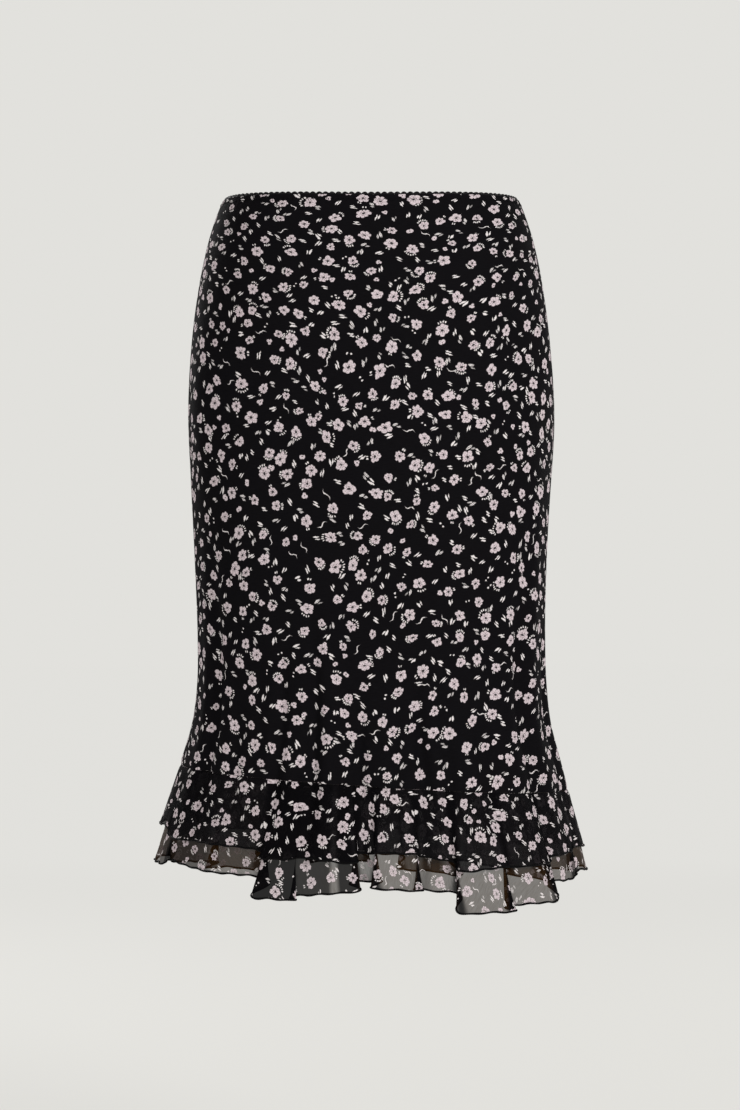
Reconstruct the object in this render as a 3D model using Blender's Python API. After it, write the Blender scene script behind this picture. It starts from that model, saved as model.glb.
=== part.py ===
"""Ruffled midi skirt, filled out as worn with nobody in it.

Metres, +Z up, the front towards -Y and the wearer's left towards +X. The origin is the centre of the waist,
level with the cloth's top edge. Angles round the skirt are in degrees from the front, positive towards +X.
Each cloth piece is a wall between an outer grid of points and the same grid moved in by the cloth's thickness.
"""

import math
from collections import namedtuple

import bmesh
import bpy
import numpy as np

MM = 0.001

# Cloth and seams
BODY_THICKNESS = 1.5 * MM
RUFFLE_THICKNESS = 1.1 * MM
SEAM_GAP = 0.3 * MM
RUFFLE_PITCH = RUFFLE_THICKNESS + SEAM_GAP

# The body's outline, one row a section: depths are from the origin's plane to the front and to the back
Section = namedtuple("Section", "z half_width front_depth back_depth")
SECTIONS = [
    Section(0.004, 0.1508, 0.1110, 0.1110),
    Section(-0.012, 0.1576, 0.1145, 0.1160),
    Section(-0.033, 0.1648, 0.1170, 0.1220),
    Section(-0.060, 0.1716, 0.1192, 0.1280),
    Section(-0.100, 0.1786, 0.1215, 0.1340),
    Section(-0.150, 0.1846, 0.1235, 0.1390),
    Section(-0.218, 0.1885, 0.1248, 0.1410),
    Section(-0.290, 0.1854, 0.1246, 0.1390),
    Section(-0.370, 0.1805, 0.1240, 0.1355),
    Section(-0.445, 0.1776, 0.1240, 0.1335),
    Section(-0.490, 0.1779, 0.1250, 0.1338),
    Section(-0.535, 0.1824, 0.1285, 0.1370),
    Section(-0.575, 0.1925, 0.1345, 0.1430),
    Section(-0.605, 0.1998, 0.1388, 0.1472),
    Section(-0.635, 0.2064, 0.1428, 0.1512),
    Section(-0.672, 0.2146, 0.1468, 0.1552),
    Section(-0.720, 0.2230, 0.1500, 0.1585),
]
SQUARENESS = 2.25  # 2 is an ellipse; a little more flattens the front and the back
WAIST_DIP = 5.0 * MM  # how far the top edge sinks at the centre front

# The seam that joins the ruffles to the body hangs lower towards +X
SEAM_Z = -0.5905
SEAM_TILT = 0.0128
HEM_Z = -0.700  # the fold table's reach is what a fold has at this height
FOLD_GROWTH = 2.1

# The ruffles' folds, one row a face of cloth, all round from the left side seam to the right one and back.
# A face runs from left to right degrees at the hem and overlaps its neighbour where their ranges cross.
# The rest is in mm but for top, the height in metres where the fold starts. reach is how far the face's middle
# stands out and crown how much of that its edges lack. upper_left to lower_right are the two ruffles' lengths
# at its left and right edges, and spread is how far the upper ruffle's hem stands off the lower ruffle.
Fold = namedtuple("Fold", "left right reach crown top upper_left upper_right lower_left lower_right spread")
FOLDS = [
    Fold(-108, -71.5, 10, 7, -0.40, 60, 61, 99, 96, 4),
    Fold(-72.5, -27, -4, -4, -0.38, 66, 70, 93, 100, 5),
    Fold(-30.5, -19, 14, 5, -0.45, 75, 74, 113, 114, 5),
    Fold(-20.5, -3, 9, 5, -0.47, 72, 74, 111, 101, 5),
    Fold(-5, 2, -10, -2, -0.47, 66, 64, 94, 92, 4),
    Fold(0.3, 12.9, 11, 4, -0.48, 62, 62, 97, 98, 4),
    Fold(11.5, 23, -2, -1, -0.48, 63, 69, 96, 101, 5),
    Fold(21.7, 37.3, 15, 6, -0.46, 76, 71, 116, 115, 5),
    Fold(35, 55.5, 7, 5, -0.44, 72, 68, 111, 104, 4),
    Fold(53, 73, -5, -2, -0.38, 64, 58, 90, 86, 3),
    Fold(71, 108, 8, 7, -0.40, 56, 58, 80, 84, 1),
    Fold(106, 128, -4, -2, -0.42, 62, 66, 88, 94, 3),
    Fold(126, 141, 14, 5, -0.45, 74, 73, 109, 107, 5),
    Fold(139.5, 157, 1, 2, -0.45, 69, 66, 101, 96, 4),
    Fold(155, 172, 14, 5, -0.47, 75, 72, 113, 110, 5),
    Fold(171, 182, -9, -2, -0.47, 66, 65, 95, 93, 4),
    Fold(180.5, 198, 13, 5, -0.47, 71, 74, 104, 107, 5),
    Fold(196.5, 213, -2, -2, -0.45, 68, 66, 98, 95, 5),
    Fold(211, 229, 14, 5, -0.45, 75, 72, 116, 115, 5),
    Fold(227, 254, -4, -3, -0.42, 67, 62, 110, 103, 4),
]
ANGLES = ("hem", "even")  # a column's angle at the hem, and at the seam, where the folds lie side by side
SIDE_SEAMS = (-90, 90)  # degrees
WALL_HALF_ANGLE = 1.2  # half of what the cloth between two faces takes at the seam, in degrees
OVERLAP_GROWTH = 2.6  # how late down the ruffle the faces overlap
HEM_RADIUS = 0.185  # the hem's girth as a radius
ROUNDING = 3.0 * MM  # how softly the cloth turns at a face's edge
FINE_STEP = 0.5 * MM
CURVE_STEPS = 6000

# How far the cloth runs and how many degrees it turns between two columns, which are never closer than NEAREST
BODY_STEP = (26 * MM, 140)
RUFFLE_STEP = (22 * MM, 34)
NEAREST = 2.6 * MM
BODY_ROWS = 12
UPPER_ROWS = 3
LOWER_ROWS = 5

# The picot elastic inside the waist
ELASTIC_HEIGHT = 10 * MM
ELASTIC_THICKNESS = 1.2 * MM
ELASTIC_RISE = 0.8 * MM
SCALLOPS = 130
SCALLOP_HEIGHT = 2.2 * MM
SCALLOP_STEPS = 2


def tangents(values, spans):
    """Slopes of a closed smooth curve through values, whose spans[i] runs from point i to point i + 1."""
    after = (np.roll(values, -1) - values) / spans
    before, span_before = np.roll(after, 1), np.roll(spans, 1)
    return (after * span_before + before * spans) / (spans + span_before)


def hermite(start, end, start_slope, end_slope, span, share):
    s2, s3 = share * share, share**3
    return (
        (2 * s3 - 3 * s2 + 1) * start
        + (s3 - 2 * s2 + share) * span * start_slope
        + (3 * s2 - 2 * s3) * end
        + (s3 - s2) * span * end_slope
    )


def section_at(z):
    """(half width, front depth, back depth) at height z, on a smooth curve through SECTIONS."""
    rows = np.array(SECTIONS)
    z = min(max(z, rows[-1, 0]), rows[0, 0])
    i = min(int(np.searchsorted(-rows[:, 0], -z, side="right")) - 1, len(rows) - 2)
    i = max(i, 0)
    slopes = np.gradient(rows[:, 1:], rows[:, 0], axis=0)
    span = rows[i + 1, 0] - rows[i, 0]
    share = (z - rows[i, 0]) / span
    return hermite(rows[i, 1:], rows[i + 1, 1:], slopes[i], slopes[i + 1], span, share)


def plan_point(degrees, z, out=0.0):
    """The point at that angle on the outline at height z, moved out by out in the plan."""
    half_width, front, back = section_at(z)
    s, c = math.sin(math.radians(degrees)), math.cos(math.radians(degrees))
    depth = front if c > 0 else back
    size = (abs(s) ** SQUARENESS + abs(c) ** SQUARENESS) ** (-1 / SQUARENESS)
    # The outward normal of the squared ellipse
    across = math.copysign(abs(s) ** (SQUARENESS - 1), s) / half_width
    along = -math.copysign(abs(c) ** (SQUARENESS - 1), c) / depth
    length = math.hypot(across, along)
    x = size * half_width * s + out * across / length
    y = -size * depth * c + out * along / length
    return x, y


def waist_height(degrees):
    return -WAIST_DIP * max(math.cos(math.radians(degrees)), 0.0) ** 3


def seam_height(degrees):
    return SEAM_Z - SEAM_TILT * math.sin(math.radians(degrees))


def fold_points():
    """Three control points a fold, at its left edge, middle and right edge, as a dict of arrays."""
    rows = []
    for i, fold in enumerate(FOLDS):
        turn_back = 360 if i == 0 else 0
        turn_on = 360 if i == len(FOLDS) - 1 else 0
        before = FOLDS[i - 1]
        after = FOLDS[(i + 1) % len(FOLDS)]
        start = (before.right - turn_back + fold.left) / 2
        end = (fold.right + after.left + turn_on) / 2
        edge = fold.reach - fold.crown
        for across, hem, even, reach in (
            (0.0, fold.left, start + WALL_HALF_ANGLE, edge),
            (0.5, (fold.left + fold.right) / 2, (start + end) / 2, fold.reach),
            (1.0, fold.right, end - WALL_HALF_ANGLE, edge),
        ):
            upper = fold.upper_left + across * (fold.upper_right - fold.upper_left)
            lower = fold.lower_left + across * (fold.lower_right - fold.lower_left)
            rows.append((hem, even, fold.top, reach * MM, upper * MM, lower * MM, fold.spread * MM))
    return dict(zip(("hem", "even", "top", "reach", "upper", "lower", "spread"), np.array(rows).T))


def fold_line():
    """The fold points' quantities all round the hem at every FINE_STEP, with the folds' edges rounded off."""
    points = fold_points()
    turned = {name: 360.0 * (name in ANGLES) for name in points}
    spans = np.sqrt(np.hypot(*hem_steps(points)))
    knots = np.insert(np.cumsum(spans), 0, 0.0)
    place = np.arange(CURVE_STEPS) * knots[-1] / CURVE_STEPS
    i = np.searchsorted(knots, place, side="right") - 1
    j = (i + 1) % len(spans)
    share = (place - knots[i]) / spans[i]
    line = {}
    for name, values in points.items():
        # An angle grows by a whole turn round the ring: its even growth is taken out here and put back below
        level = values - turned[name] * knots[:-1] / knots[-1]
        slopes = tangents(level, spans)
        line[name] = hermite(level[i], level[j], slopes[i], slopes[j], spans[i], share)
        line[name] += turned[name] * place / knots[-1]
    along = np.insert(np.cumsum(np.hypot(*hem_steps(line))), 0, 0.0)
    length = along[-1]
    count = round(length / FINE_STEP)
    wanted = np.arange(count) * length / count
    reach = round(3 * ROUNDING / FINE_STEP)
    offsets = np.arange(-reach, reach + 1)
    kernel = np.exp(-((offsets * FINE_STEP / ROUNDING) ** 2) / 2)
    for name in points:
        even = np.interp(wanted, along, np.append(line[name], line[name][0] + turned[name]))
        level = even - turned[name] * wanted / length
        smooth = sum(weight * np.roll(level, -k) for k, weight in zip(offsets, kernel)) / kernel.sum()
        line[name] = smooth + turned[name] * wanted / length
    return line


def hem_steps(line):
    """How far round the hem and how far outwards the cloth goes from each place to the next."""
    around = np.radians(np.diff(line["hem"], append=line["hem"][0] + 360)) * HEM_RADIUS
    return around, np.roll(line["reach"], -1) - line["reach"]


def fold_columns(widest, sharpest):
    """The folds' quantities at each column of a ring of cloth, and which columns are the two side seams.

    Between columns the cloth runs at most widest and turns at most sharpest degrees, or near it for both.
    """
    line = fold_line()
    around, outward = hem_steps(line)
    steps = np.hypot(around, outward)
    heading = np.degrees(np.arctan2(outward, around))
    turns = np.abs((heading - np.roll(heading, 1) + 180) % 360 - 180)
    weight = np.minimum(steps / widest + turns / sharpest, steps / NEAREST)
    weight = np.insert(np.cumsum(weight), 0, 0.0)
    left, right = (int(np.argmin(np.abs(line["hem"] - side))) for side in SIDE_SEAMS)
    whole = weight[-1]
    first = math.ceil(weight[right] - weight[left])
    second = math.ceil(whole - weight[right] + weight[left])
    wanted = np.concatenate([
        np.linspace(weight[left], weight[right], first, endpoint=False),
        np.linspace(weight[right], weight[left] + whole, second, endpoint=False),
    ])
    columns = {}
    for name, values in line.items():
        turn = 360.0 * (name in ANGLES)
        twice = np.concatenate([values, values + turn, [values[0] + 2 * turn]])
        columns[name] = np.interp(wanted, np.concatenate([weight[:-1], weight + whole]), twice)
    return columns, (0, first)


def fold_share(z, top):
    """How far a fold has grown at height z: 0 at its top, 1 at HEM_Z."""
    return (max(top - z, 0.0) / (top - HEM_Z)) ** FOLD_GROWTH


def folded_point(columns, i, z, overlap=0.0, out=0.0):
    even, hem = columns["even"][i], columns["hem"][i]
    degrees = even + overlap * (hem - even)
    reach = columns["reach"][i] * fold_share(z, columns["top"][i])
    return (*plan_point(degrees, z, reach + out), z)


def body_grid(columns):
    """The body's outer points: its top edge, the elastic's lower edge, then rows down to the seam."""
    waist = [waist_height(degrees) for degrees in columns["even"]]
    grid = [[folded_point(columns, i, z) for i, z in enumerate(waist)]]
    for row in range(BODY_ROWS):
        turn = math.pi / 2 * row / (BODY_ROWS - 1)
        share = math.sin(turn)  # the rows are closer near the seam, where the folds are
        heights = [
            (1 - share) * (top - ELASTIC_HEIGHT) + share * seam_height(degrees)
            for top, degrees in zip(waist, columns["even"])
        ]
        grid.append([folded_point(columns, i, z) for i, z in enumerate(heights)])
    return np.array(grid)


def ruffle_grid(columns, length, rows, stands_off=False):
    """The lower ruffle's outer points, or points to place the upper ruffle from, from under the seam to the hem."""
    grid = []
    for row in range(rows + 1):
        share = row / rows
        points = []
        for i, degrees in enumerate(columns["even"]):
            fall = share * columns[length][i]
            overlap = (fall / columns["lower"][i]) ** OVERLAP_GROWTH
            out = share * columns["spread"][i] if stands_off else 0.0
            z = seam_height(degrees) - SEAM_GAP - fall
            points.append(folded_point(columns, i, z, overlap, out - RUFFLE_PITCH))
        grid.append(points)
    return np.array(grid)


def moved(grid, distance):
    """Closed rings of points moved level, square to the cloth in the plan, outwards where distance is positive."""
    ahead = np.roll(grid, -1, axis=1) - grid
    ahead[..., 2] = 0.0
    ahead /= np.linalg.norm(ahead, axis=2, keepdims=True)
    along = ahead + np.roll(ahead, 1, axis=1)
    along /= np.linalg.norm(along, axis=2, keepdims=True)
    outward = np.stack([along[..., 1], -along[..., 0], along[..., 2]], axis=2)
    return grid + distance * outward


def half_of(grid, first, last):
    """The columns from first to last round the ring, both ends drawn in by half a seam gap."""
    count = grid.shape[1]
    last = last if last > first else last + count
    picked = grid[:, [i % count for i in range(first, last + 1)]].copy()
    for end, inner in ((0, 1), (-1, -2)):
        step = picked[:, inner] - picked[:, end]
        picked[:, end] += step / np.linalg.norm(step, axis=1, keepdims=True) * SEAM_GAP / 2
    return picked


def wall(name, outer, inner, material, closed=False):
    """One object: the wall of cloth between two grids. A closed wall is a whole ring."""
    rows, count = outer.shape[:2]
    mesh = bmesh.new()
    sheets = [[[mesh.verts.new(point) for point in row] for row in grid] for grid in (outer, inner)]
    front, back = sheets
    for row in range(rows - 1):
        for i in range(count if closed else count - 1):
            j = (i + 1) % count
            mesh.faces.new((front[row][i], front[row + 1][i], front[row + 1][j], front[row][j]))
            mesh.faces.new((back[row][i], back[row][j], back[row + 1][j], back[row + 1][i]))
    for i in range(count if closed else count - 1):
        j = (i + 1) % count
        mesh.faces.new((front[0][i], front[0][j], back[0][j], back[0][i]))
        mesh.faces.new((front[-1][i], back[-1][i], back[-1][j], front[-1][j]))
    if not closed:
        for row in range(rows - 1):
            mesh.faces.new((front[row][0], back[row][0], back[row + 1][0], front[row + 1][0]))
            mesh.faces.new((front[row][-1], front[row + 1][-1], back[row + 1][-1], back[row][-1]))
    data = bpy.data.meshes.new(name)
    mesh.to_mesh(data)
    mesh.free()
    data.materials.append(material)
    data.shade_smooth()
    data.set_sharp_from_angle(angle=math.radians(60))
    made = bpy.data.objects.new(name, data)
    bpy.context.scene.collection.objects.link(made)
    return made


def cloth_material(name, colour, roughness):
    material = bpy.data.materials.new(name)
    material.use_nodes = True
    shader = material.node_tree.nodes["Principled BSDF"]
    shader.inputs["Base Color"].default_value = (*colour, 1)
    shader.inputs["Roughness"].default_value = roughness
    shader.inputs["Metallic"].default_value = 0.0
    return material


def wall_halves(names, outer, inner, sides, material):
    """The front and back halves of a ring of cloth, parted at the side seams."""
    left, right = sides
    for name, first, last in zip(names, (left, right), (right, left)):
        wall(name, half_of(outer, first, last), half_of(inner, first, last), material)


def spread_round(ring, count):
    """Count points at even distances along the closed ring's straight sides."""
    closed = np.vstack([ring, ring[:1]])
    along = np.insert(np.cumsum(np.linalg.norm(np.diff(closed, axis=0), axis=1)), 0, 0.0)
    wanted = np.arange(count) * along[-1] / count
    return np.stack([np.interp(wanted, along, closed[:, axis]) for axis in range(3)], axis=1)


def make_body(material):
    """The two panels. What it returns is where the elastic lies: rows of points just inside them."""
    columns, sides = fold_columns(*BODY_STEP)
    outer = body_grid(columns)
    wall_halves(("front_panel", "back_panel"), outer, moved(outer, -BODY_THICKNESS), sides, material)
    return moved(outer, -BODY_THICKNESS - SEAM_GAP)[:2]


def make_ruffles(material):
    columns, sides = fold_columns(*RUFFLE_STEP)
    upper = moved(ruffle_grid(columns, "upper", UPPER_ROWS, stands_off=True), RUFFLE_PITCH)
    lower = ruffle_grid(columns, "lower", LOWER_ROWS)
    for layer, outer in (("upper", upper), ("lower", lower)):
        names = (f"{layer}_ruffle_front", f"{layer}_ruffle_back")
        wall_halves(names, outer, moved(outer, -RUFFLE_THICKNESS), sides, material)


def make_elastic(backing, material):
    """One loop of elastic inside the waist, its scalloped edge standing above the cloth's top edge."""
    count = SCALLOPS * SCALLOP_STEPS
    outer = np.array([spread_round(row, count) for row in backing])
    up = outer[0] - outer[1]
    up /= np.linalg.norm(up, axis=1, keepdims=True)
    waves = np.abs(np.sin(np.pi * np.arange(count) / SCALLOP_STEPS))
    outer[0] += up * (ELASTIC_RISE + SCALLOP_HEIGHT * waves)[:, None]
    wall("waist_elastic", outer, moved(outer, -ELASTIC_THICKNESS), material, closed=True)


def main():
    for thing in list(bpy.data.objects):
        bpy.data.objects.remove(thing)
    body = cloth_material("body_cloth", (0.012, 0.011, 0.013), 0.7)
    chiffon = cloth_material("ruffle_cloth", (0.020, 0.018, 0.018), 0.75)
    elastic = cloth_material("elastic", (0.008, 0.008, 0.009), 0.6)
    backing = make_body(body)
    make_ruffles(chiffon)
    make_elastic(backing, elastic)


main()
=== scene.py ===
import functools
import math

import bmesh
import bpy
import numpy as np
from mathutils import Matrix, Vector


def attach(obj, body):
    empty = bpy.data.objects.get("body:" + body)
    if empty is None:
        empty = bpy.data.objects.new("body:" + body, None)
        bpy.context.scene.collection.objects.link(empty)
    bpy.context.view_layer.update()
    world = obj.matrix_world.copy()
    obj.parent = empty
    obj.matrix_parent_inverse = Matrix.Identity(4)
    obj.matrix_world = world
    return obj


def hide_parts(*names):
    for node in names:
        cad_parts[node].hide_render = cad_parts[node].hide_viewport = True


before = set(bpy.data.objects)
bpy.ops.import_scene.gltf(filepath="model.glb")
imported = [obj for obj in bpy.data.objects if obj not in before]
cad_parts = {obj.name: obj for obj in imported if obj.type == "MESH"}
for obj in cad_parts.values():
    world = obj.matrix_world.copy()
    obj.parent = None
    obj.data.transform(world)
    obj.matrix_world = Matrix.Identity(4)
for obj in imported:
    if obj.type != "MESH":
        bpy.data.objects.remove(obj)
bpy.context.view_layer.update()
mm = 0.001
turn = 2 * math.pi


# Form of the cloth: the same sizes as the solids, worked out on a finer grid

bodyForm = {
    "squareness": 2.25,  # 2 is an ellipse; a little more flattens the front and the back
    "waistDip": 5.0 * mm,  # how far the top edge sinks at the centre front
    # height, half width, depth to the front, depth to the back
    "sections": [
        (0.004, 0.1508, 0.1110, 0.1110),
        (-0.012, 0.1576, 0.1145, 0.1160),
        (-0.033, 0.1648, 0.1170, 0.1220),
        (-0.060, 0.1716, 0.1192, 0.1280),
        (-0.100, 0.1786, 0.1215, 0.1340),
        (-0.150, 0.1846, 0.1235, 0.1390),
        (-0.218, 0.1885, 0.1248, 0.1410),
        (-0.290, 0.1854, 0.1246, 0.1390),
        (-0.370, 0.1805, 0.1240, 0.1355),
        (-0.445, 0.1776, 0.1240, 0.1335),
        (-0.490, 0.1779, 0.1250, 0.1338),
        (-0.535, 0.1824, 0.1285, 0.1370),
        (-0.575, 0.1925, 0.1345, 0.1430),
        (-0.605, 0.1998, 0.1388, 0.1472),
        (-0.635, 0.2064, 0.1428, 0.1512),
        (-0.672, 0.2146, 0.1468, 0.1552),
        (-0.720, 0.2230, 0.1500, 0.1585),
    ],
}

foldForm = {
    "seamHeight": -0.5905,
    "seamTilt": 0.0128,  # the ruffle seam hangs lower towards +X
    "hemHeight": -0.700,
    "growth": 2.1,
    "names": ("left", "right", "reach", "crown", "top",
              "upperLeft", "upperRight", "lowerLeft", "lowerRight", "spread"),
    # left and right are degrees at the hem and top is a height in metres; the rest is mm: how far the fold
    # reaches out and stands before its edges, both ruffles' lengths, and how far the upper hem stands off
    "folds": [
        (-108, -71.5, 10, 7, -0.40, 60, 61, 99, 96, 4),
        (-72.5, -27, -4, -4, -0.38, 66, 70, 93, 100, 5),
        (-30.5, -19, 14, 5, -0.45, 75, 74, 113, 114, 5),
        (-20.5, -3, 9, 5, -0.47, 72, 74, 111, 101, 5),
        (-5, 2, -10, -2, -0.47, 66, 64, 94, 92, 4),
        (0.3, 12.9, 11, 4, -0.48, 62, 62, 97, 98, 4),
        (11.5, 23, -2, -1, -0.48, 63, 69, 96, 101, 5),
        (21.7, 37.3, 15, 6, -0.46, 76, 71, 116, 115, 5),
        (35, 55.5, 7, 5, -0.44, 72, 68, 111, 104, 4),
        (53, 73, -5, -2, -0.38, 64, 58, 90, 86, 3),
        (71, 108, 8, 7, -0.40, 56, 58, 80, 84, 1),
        (106, 128, -4, -2, -0.42, 62, 66, 88, 94, 3),
        (126, 141, 14, 5, -0.45, 74, 73, 109, 107, 5),
        (139.5, 157, 1, 2, -0.45, 69, 66, 101, 96, 4),
        (155, 172, 14, 5, -0.47, 75, 72, 113, 110, 5),
        (171, 182, -9, -2, -0.47, 66, 65, 95, 93, 4),
        (180.5, 198, 13, 5, -0.47, 71, 74, 104, 107, 5),
        (196.5, 213, -2, -2, -0.45, 68, 66, 98, 95, 5),
        (211, 229, 14, 5, -0.45, 75, 72, 116, 115, 5),
        (227, 254, -4, -3, -0.42, 67, 62, 110, 103, 4),
    ],
    "sideSeams": (-90, 90),
    "wallHalfAngle": 1.2,  # degrees that the cloth between two faces takes at the seam, halved
    "overlapGrowth": 2.6,
    "hemRadius": 0.185,
    "rounding": 3.0 * mm,
    "fineStep": 0.5 * mm,
    "curveSteps": 6000,
    "widest": 4.0 * mm,  # the finer grid's longest step, sharpest turn in degrees and shortest step
    "sharpest": 9.0,
    "nearest": 1.3 * mm,
    "pinch": 0.85,  # degrees that the thin cloth's folds lap further at the hem than the solid's
    "pinchRise": 0.4,
}


def summed(steps):
    # running total, from 0
    return np.insert(np.cumsum(steps), 0, 0.0)


def unit(vectors):
    return vectors / np.linalg.norm(vectors, axis=-1, keepdims=True)


def angleFrom(middle, degrees):
    return (degrees - middle + 180) % 360 - 180


def hermite(start, end, startSlope, endSlope, span, share):
    s2, s3 = share * share, share**3
    return (
        (2 * s3 - 3 * s2 + 1) * start
        + (s3 - 2 * s2 + share) * span * startSlope
        + (3 * s2 - 2 * s3) * end
        + (s3 - s2) * span * endSlope
    )


def slopesOf(values, spans):
    after = (np.roll(values, -1) - values) / spans
    before, spanBefore = np.roll(after, 1), np.roll(spans, 1)
    return (after * spanBefore + before * spans) / (spans + spanBefore)


def sectionAt(z):
    rows = np.array(bodyForm["sections"])
    z = np.clip(z, rows[-1, 0], rows[0, 0])
    i = np.clip(np.searchsorted(-rows[:, 0], -z, side="right") - 1, 0, len(rows) - 2)
    slopes = np.gradient(rows[:, 1:], rows[:, 0], axis=0)
    span = (rows[i + 1, 0] - rows[i, 0])[..., None]
    share = (z - rows[i, 0])[..., None] / span
    return hermite(rows[i, 1:], rows[i + 1, 1:], slopes[i], slopes[i + 1], span, share)


def outlinePoint(degrees, z, out):
    # points at those angles on the outline at height z, moved out in the plan
    halfWidth, front, back = np.moveaxis(sectionAt(z), -1, 0)
    power = bodyForm["squareness"]
    s, c = np.sin(np.radians(degrees)), np.cos(np.radians(degrees))
    depth = np.where(c > 0, front, back)
    size = (np.abs(s) ** power + np.abs(c) ** power) ** (-1 / power)
    across = np.copysign(np.abs(s) ** (power - 1), s) / halfWidth
    along = -np.copysign(np.abs(c) ** (power - 1), c) / depth
    length = np.hypot(across, along)
    x = size * halfWidth * s + out * across / length
    y = -size * depth * c + out * along / length
    return np.stack([x, y, z + 0 * x], axis=-1)


def waistHeightAt(degrees):
    return -bodyForm["waistDip"] * np.maximum(np.cos(np.radians(degrees)), 0) ** 3


def seamHeightAt(degrees):
    return foldForm["seamHeight"] - foldForm["seamTilt"] * np.sin(np.radians(degrees))


def hemSteps(line):
    around = np.radians(np.diff(line["hem"], append=line["hem"][0] + 360)) * foldForm["hemRadius"]
    return around, np.roll(line["reach"], -1) - line["reach"]


def foldPoints():
    # three points a fold: its left edge, middle and right edge
    folds = [dict(zip(foldForm["names"], row)) for row in foldForm["folds"]]
    half = foldForm["wallHalfAngle"]
    rows = []
    for i, fold in enumerate(folds):
        before, after = folds[i - 1], folds[(i + 1) % len(folds)]
        start = (before["right"] - (360 if i == 0 else 0) + fold["left"]) / 2
        end = (fold["right"] + after["left"] + (360 if i == len(folds) - 1 else 0)) / 2
        edge = fold["reach"] - fold["crown"]
        for across, hem, even, reach in (
            (0.0, fold["left"], start + half, edge),
            (0.5, (fold["left"] + fold["right"]) / 2, (start + end) / 2, fold["reach"]),
            (1.0, fold["right"], end - half, edge),
        ):
            upper = fold["upperLeft"] + across * (fold["upperRight"] - fold["upperLeft"])
            lower = fold["lowerLeft"] + across * (fold["lowerRight"] - fold["lowerLeft"])
            rows.append((hem, even, fold["top"], reach * mm, upper * mm, lower * mm, fold["spread"] * mm))
    return dict(zip(("hem", "even", "top", "reach", "upper", "lower", "spread"), np.array(rows).T))


def foldLine():
    # the folds' sizes all round the hem at every fine step, their edges rounded off
    points = foldPoints()
    turned = {name: 360.0 * (name in ("hem", "even")) for name in points}
    spans = np.sqrt(np.hypot(*hemSteps(points)))
    knots = summed(spans)
    place = np.arange(foldForm["curveSteps"]) * knots[-1] / foldForm["curveSteps"]
    i = np.searchsorted(knots, place, side="right") - 1
    j = (i + 1) % len(spans)
    share = (place - knots[i]) / spans[i]
    line = {}
    for name, values in points.items():
        level = values - turned[name] * knots[:-1] / knots[-1]
        slopes = slopesOf(level, spans)
        line[name] = hermite(level[i], level[j], slopes[i], slopes[j], spans[i], share)
        line[name] += turned[name] * place / knots[-1]
    along = summed(np.hypot(*hemSteps(line)))
    count = round(along[-1] / foldForm["fineStep"])
    wanted = np.arange(count) * along[-1] / count
    reach = round(3 * foldForm["rounding"] / foldForm["fineStep"])
    offsets = np.arange(-reach, reach + 1)
    kernel = np.exp(-((offsets * foldForm["fineStep"] / foldForm["rounding"]) ** 2) / 2)
    for name in points:
        even = np.interp(wanted, along, np.append(line[name], line[name][0] + turned[name]))
        level = even - turned[name] * wanted / along[-1]
        smooth = sum(weight * np.roll(level, -k) for k, weight in zip(offsets, kernel)) / kernel.sum()
        line[name] = smooth + turned[name] * wanted / along[-1]
    return line


def foldColumns():
    # the folds' sizes at each column of the finer grid, and the column of the second side seam
    line = foldLine()
    around, outward = hemSteps(line)
    steps = np.hypot(around, outward)
    heading = np.degrees(np.arctan2(outward, around))
    turns = np.abs(angleFrom(np.roll(heading, 1), heading))
    weight = steps / foldForm["widest"] + turns / foldForm["sharpest"]
    weight = summed(np.minimum(weight, steps / foldForm["nearest"]))
    left, right = (int(np.argmin(np.abs(line["hem"] - side))) for side in foldForm["sideSeams"])
    whole = weight[-1]
    first = math.ceil(weight[right] - weight[left])
    second = math.ceil(whole - weight[right] + weight[left])
    wanted = np.concatenate([
        np.linspace(weight[left], weight[right], first, endpoint=False),
        np.linspace(weight[right], weight[left] + whole, second, endpoint=False),
    ])
    columns = {}
    for name, values in line.items():
        full = 360.0 * (name in ("hem", "even"))
        twice = np.concatenate([values, values + full, [values[0] + 2 * full]])
        columns[name] = np.interp(wanted, np.concatenate([weight[:-1], weight + whole]), twice)
    return columns, first


def foldEdges():
    # the middle of each fold's overlap with the fold before it, and half its width at the hem, in degrees
    folds = foldForm["folds"]
    before = [folds[i - 1][1] - (360 if i == 0 else 0) for i in range(len(folds))]
    return [((last + fold[0]) / 2, (last - fold[0]) / 2) for last, fold in zip(before, folds)]


def lappedDegrees(columns, overlap):
    # where the columns stand once the folds overlap; the thin cloth laps further than the solid does
    even, lap = columns["even"], 0 * columns["even"]
    for middle, _ in foldEdges():
        away = angleFrom(middle, even) / foldForm["wallHalfAngle"]
        lap -= foldForm["pinch"] * away * np.exp((1 - away**2) / 2)
    return even + overlap * (columns["hem"] - even) + lap * overlap ** foldForm["pinchRise"]


def foldedPoints(columns, z, overlap, out):
    top = columns["top"]
    grown = (np.maximum(top - z, 0) / (top - foldForm["hemHeight"])) ** foldForm["growth"]
    return outlinePoint(lappedDegrees(columns, overlap), z, columns["reach"] * grown + out)


def movedOut(grid, distance):
    # closed rings of points moved level, square to the cloth in the plan
    ahead = np.roll(grid, -1, axis=1) - grid
    ahead[..., 2] = 0
    ahead = unit(ahead)
    along = unit(ahead + np.roll(ahead, 1, axis=1))
    outward = np.stack([along[..., 1], -along[..., 0], 0 * along[..., 2]], axis=2)
    return grid + np.asarray(distance)[..., None] * outward


def eased(value, start, end):
    share = np.clip((value - start) / (end - start), 0, 1)
    return share * share * (3 - 2 * share)


def stepsAlong(grid, axis):
    # distance from the grid's first line, measured along the cloth
    steps = np.linalg.norm(np.diff(grid, axis=axis), axis=2)
    return np.concatenate([0 * np.take(steps, [0], axis), np.cumsum(steps, axis)], axis)


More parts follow.
